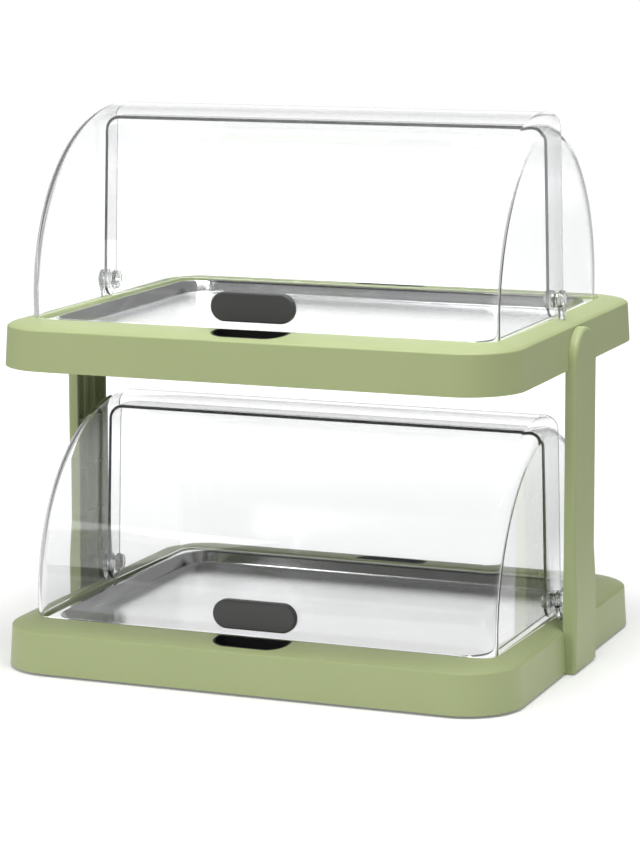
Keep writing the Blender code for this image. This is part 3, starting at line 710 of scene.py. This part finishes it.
def grip(tier, bottom):
    radius = cover_sizes["front"][0]
    straight = grip_half_length - grip_half_height
    pill = arc((straight, grip_rise), grip_half_height, -pi / 2, pi / 2, 32)
    pill += [(-x, z) for x, z in reversed(pill)]
    bm = bmesh.new()
    face_verts = add_slab(bm, pill, "Y", grip_stock - radius, -radius - grip_thickness)[1]
    rim = [e for e in bm.edges if all(v in face_verts for v in e.verts) and e.calc_face_angle(0) > 1]
    bmesh.ops.bevel(bm, geom=rim, offset=grip_edge_radius, segments=6, profile=0.5, affect="EDGES", material=-1)
    piece = as_object(f"{tier}_pill_grip", bm)
    drum = bmesh.new()
    reach = Vector((grip_half_length * 2, 0, 0))
    add_rod(drum, -reach, reach, radius + seat_gap, drum_steps * 2)
    pegs = bmesh.new()
    for side in sides.values():
        x = side * peg_spread
        start, stop = sheet + peg_head - radius, -radius - grip_thickness / 2
        add_rod(pegs, (x, start, grip_rise), (x, stop, grip_rise), peg_radius)
    carve(piece, [("DIFFERENCE", drum), ("UNION", pegs)])
    piece.data.transform(Matrix.Translation((0, 0, bottom + pivot_rise)))
    settle(piece, grip_plastic, f"{tier}_front_half", "grip_plastic", f"{tier}_front_grip")


for tier, bottom in tray_bottoms.items():
    grip(tier, bottom)


# Finger recesses
# A matt black cup is moulded on its own and set in each long rim, with its top cut flush with the crown. The front
# ones lie under the grips.
recess_floor_fillet = 1.2 * mm
recess_sink = 0.05 * mm
black_plastic = Look("matt black recess plastic", Base_Color=(0.012, 0.012, 0.012, 1), Roughness=0.55)
black_grain = black_plastic.noise(0.6 * mm, 2.0)
black_plastic.paint(Roughness=0.5 + black_grain * 0.15)
black_plastic.bump(black_grain, 0.05 * mm, 0.4)


def finger_recess(tier, end_name, end, bottom):
    bm = bmesh.new()
    add_slab(bm, recess_outline(end, 0.0), "Z", recess_floor - liner_wall, lip_height + overrun)
    piece = as_object(f"{tier}_{end_name}_recess_cup", bm)
    hollow = bmesh.new()
    floor_verts = add_slab(hollow, recess_outline(end, -liner_wall), "Z", recess_floor, lip_height + 2 * overrun)[0]
    rim = [e for e in hollow.edges if all(v in floor_verts for v in e.verts) and e.calc_face_angle(0) > 1]
    bmesh.ops.bevel(
        hollow, geom=rim, offset=recess_floor_fillet, segments=4, profile=0.5, affect="EDGES", material=-1
    )
    high = lip_height + 3 * overrun
    shares = [i / 16 for i in range(17)]
    section = [(tray_side_y - s * (tray_side_y - mouth_y), crown_height(s) - recess_sink) for s in shares]
    section += [(mouth_y - overrun, lip_height), (mouth_y - overrun, high), (tray_side_y + overrun, high)]
    above = bmesh.new()
    wide = recess_half_length + overrun
    add_slab(above, [(end * y, z) for y, z in section], "X", -wide, wide)
    carve(piece, [("DIFFERENCE", hollow), ("DIFFERENCE", above)])
    piece.data.transform(Matrix.Translation((0, 0, bottom)))
    settle(piece, black_plastic, "stand", "black_plastic", f"{tier}_{end_name}_finger_liner")


for tier, bottom in tray_bottoms.items():
    for end_name, end in ends.items():
        finger_recess(tier, end_name, end, bottom)


# Pivots
# Clear tapered brackets stand in slots of the rim, outside the covers. A clear faceted knob with a pin goes
# through both halves into each bracket's eye.
knob_radius = 7.75 * mm
knob_face = 189.5 * mm
knob_length = 4.5 * mm
pin_radius = 5.0 * mm
knob_flutes = 10
flute_share = 0.9
knob_edge = 1.2 * mm
bracket_edge = 0.6 * mm
pin_overlap = 1.0 * mm
clear_casting = clear_look("clear moulded acrylic", (0.95, 0.96, 0.96, 1), 0.1, 0.5)
swirl = clear_casting.noise(6 * mm, 2.0)
clear_casting.paint(Roughness=0.08 + swirl * 0.06)


def pivot(tier, side_name, side, bottom):
    height = bottom + pivot_rise
    foot = bracket_foot_half_width
    low = side_height - bracket_foot_depth + seat_gap - pivot_rise
    shoulder = lip_height - pivot_rise
    outline = arc((0, 0), knob_radius, -pi / 6, pi + pi / 6, 40)
    outline += [(-foot, shoulder), (-foot, low), (foot, low), (foot, shoulder)]
    bm = bmesh.new()
    near, far = side * bracket_near, side * bracket_far
    add_slab(bm, outline, "X", near, far)
    rims = [
        e for e in bm.edges if e.calc_face_angle(0) > 1 and abs(e.verts[0].co.x - e.verts[1].co.x) < 0.1 * mm
    ]
    bmesh.ops.bevel(bm, geom=rims, offset=bracket_edge, segments=3, profile=0.5, affect="EDGES", material=-1)
    piece = as_object(f"{tier}_{side_name}_clear_bracket", bm)
    bore = bmesh.new()
    add_rod(bore, (near - side * overrun, 0, 0), (far + side * overrun, 0, 0), pivot_radius, 32)
    carve(piece, [("DIFFERENCE", bore)])
    piece.data.transform(Matrix.Translation((0, 0, height)))
    settle(piece, clear_casting, "stand", "clear_plastic", f"{tier}_{side_name}_pivot_bracket")

    bm = bmesh.new()
    tip = side * (knob_face - knob_length)
    head = add_rod(bm, (tip, 0, 0), (side * knob_face, 0, 0), knob_radius, knob_flutes * 2)
    for vert in head:
        ring = round(Vector((0, vert.co.y, vert.co.z)).angle(Vector((0, 0, 1)), 0) / (pi / knob_flutes))
        if ring % 2:
            vert.co.y *= flute_share
            vert.co.z *= flute_share
    front = [e for e in bm.edges if all(abs(v.co.x - tip) < 0.1 * mm for v in e.verts)]
    bmesh.ops.bevel(bm, geom=front, offset=knob_edge, segments=2, profile=0.5, affect="EDGES", material=-1)
    piece = as_object(f"{tier}_{side_name}_clear_knob", bm, radians(25))
    pin = bmesh.new()
    add_rod(pin, (side * (knob_face - pin_overlap), 0, 0), (side * bracket_far, 0, 0), pin_radius, 32)
    carve(piece, [("UNION", pin)], radians(25))
    piece.data.transform(Matrix.Translation((0, 0, height)))
    settle(piece, clear_casting, "stand", "clear_plastic", f"{tier}_{side_name}_pivot_knob")


for tier, bottom in tray_bottoms.items():
    for side_name, side in sides.items():
        pivot(tier, side_name, side, bottom)


# Floor and light
# A pale sweep under the object, which keeps the object's shadow. Seen by the camera it glows white, more so far
# away; in mirrors it carries a painted reflection, bright along the line of view and dark grey to the sides. The
# room is bright behind the object and dark to the sides in mirrors and through clear plastic, which draws the edges
# of clear plastic, and lights the object evenly. One broad soft lamp hangs overhead, and one of the same size
# stands to the front left.
floor_reach = 30.0
near_glow, far_glow = 0.17, 0.72
through_gain = 0.55
turn_left = radians(21.741)
to_right = Vector((cos(turn_left), sin(turn_left), 0))
to_back = Vector((-sin(turn_left), cos(turn_left), 0))
eye_distance = 2.414
# side_glow and floor_fan shape the floor's painted reflection.
side_glow = 0.35
floor_fan = (0.12, 0.20)
room_fan = (0.2, 0.4)
glow_start, glow_width = 0.85, 0.9


def ray_kinds(look):
    """1 for a ray of that kind: seen straight by the camera, mirrored, or sent through something clear."""
    names = ("Camera", "Glossy", "Transmission")
    return [look.node("ShaderNodeLightPath", output=f"Is {name} Ray") for name in names]


def along(look, place, axis):
    """How far a point or direction lies along an axis."""
    return look.node("ShaderNodeVectorMath", {"operation": "DOT_PRODUCT"}, {0: place, 1: axis}, output="Value")


def white_fan(look, place, from_eye, start, stop):
    """1 close to the line of view, seen from above, and 0 well to its sides. Places start at from_eye."""
    beyond = along(look, place, to_back) + from_eye
    share = look.node("ShaderNodeMath", {"operation": "ABSOLUTE"}, {0: along(look, place, to_right)}) / beyond
    return (1 - share.above((start + stop) / 2, stop - start)) * beyond.above(0.15, 0.1)


floor = Look("pale floor", Base_Color=(0.85, 0.85, 0.85, 1), Roughness=0.9, Specular_IOR_Level=0.0)
direct, mirrored, sent_through = ray_kinds(floor)
distance = floor.node("ShaderNodeVectorMath", {"operation": "LENGTH"}, {0: floor.place}, output="Value")
glow_level = near_glow + distance.above(glow_start, glow_width) * (far_glow - near_glow)
fan = white_fan(floor, floor.place, eye_distance, *floor_fan)
# Painted reflection: seen in a mirror outside the fan along the line of view, the floor's colour drops to dark
# grey.
floor.paint(Base_Color=floor.blend(mirrored * (1 - fan), (0.85, 0.85, 0.85, 1), (0.38, 0.38, 0.38, 1)))
# Seen in a mirror or through clear plastic, the floor glows fully only inside that fan and at side_glow beside it:
# painted reflection.
seen = direct + (mirrored + sent_through * through_gain) * (side_glow + fan * (1 - side_glow))
glow = floor.node("ShaderNodeEmission", {}, {"Strength": seen * glow_level})
both = floor.node("ShaderNodeAddShader", {}, {1: glow})
floor.tree.links.new(floor.shader.outputs[0], both.socket.node.inputs[0])
floor.tree.links.new(both.socket, floor.output.inputs["Surface"])
bm = bmesh.new()
bmesh.ops.create_grid(bm, x_segments=1, y_segments=1, size=floor_reach)
ground = as_object("floor", bm)
ground.data.materials.append(floor.material)


class Room(Look):
    """The world's nodes, made with the same helper as the materials."""

    def __init__(self, world):
        world.use_nodes = True
        self.tree = world.node_tree
        self.output = self.tree.nodes["World Output"]


room_level = 0.37
dark_level = 0.15
wall_top, wall_fade = 0.30, 0.2
skirting, skirting_level = 0.04, 0.5
world = bpy.data.worlds.new("studio")
bpy.context.scene.world = world
room = Room(world)
direction = room.node("ShaderNodeTexCoord", output="Generated")
up = room.node("ShaderNodeSeparateXYZ", {}, {0: direction}, output="Z")
backdrop = white_fan(room, direction, 0.0, *room_fan) * (1 - up.above(wall_top, wall_fade))
sides_low = (1 - backdrop) * (1 - up.above(skirting, skirting)) * skirting_level
studio = dark_level + backdrop * (1 - dark_level) + sides_low
direct, mirrored, sent_through = ray_kinds(room)
level = direct + (mirrored + sent_through * through_gain) * studio + (1 - direct) * (1 - mirrored) * room_level
room.feed(room.tree.nodes["Background"].inputs["Strength"], level)
room.feed(room.tree.nodes["Background"].inputs["Color"], (1, 1, 1, 1))


def softbox(name, place, target, size, power, beam, mirrored):
    lamp = bpy.data.lights.new(name, "AREA")
    lamp.shape = "RECTANGLE"
    lamp.size, lamp.size_y = size
    lamp.energy = power
    lamp.spread = radians(beam)
    made = bpy.data.objects.new(name, lamp)
    made.location = place
    made.rotation_mode = "QUATERNION"
    made.rotation_quaternion = (Vector(target) - Vector(place)).to_track_quat("-Z", "Y")
    made.visible_glossy = mirrored
    bpy.context.scene.collection.objects.link(made)


box_size = (1.2, 1.2)
softbox("overhead", (0.2, -0.25, 1.7), (0.05, -0.05, 0.2), box_size, power=12, beam=110, mirrored=True)
softbox("front_left", (-1.6, -2.0, 1.0), (0, 0, 0.2), box_size, power=16, beam=180, mirrored=False)


# Camera
# A long lens a little above the lower tray, to the right of the object's middle, with a small downward shift.
eye = Vector((889.9, -2244.1, 603.0)) * mm
look_down, roll = radians(7.956), radians(-0.135)
focal_pixels = 2997.9
frame_height = 853
downward_shift = 0.12

camera = bpy.data.cameras.new("camera")
camera.lens = focal_pixels / frame_height * camera.sensor_width
camera.shift_y = -downward_shift
camera.clip_start, camera.clip_end = 0.1, 100
view = bpy.data.objects.new("camera", camera)
ahead = Vector((-sin(turn_left) * cos(look_down), cos(turn_left) * cos(look_down), -sin(look_down)))
upward = to_right.cross(ahead)
across, upward = cos(roll) * to_right + sin(roll) * upward, cos(roll) * upward - sin(roll) * to_right
view.matrix_world = Matrix.Translation(eye) @ Matrix((across, upward, -ahead)).transposed().to_4x4()
bpy.context.scene.collection.objects.link(view)
bpy.context.scene.camera = view
bpy.context.scene.view_settings.view_transform = "Standard"
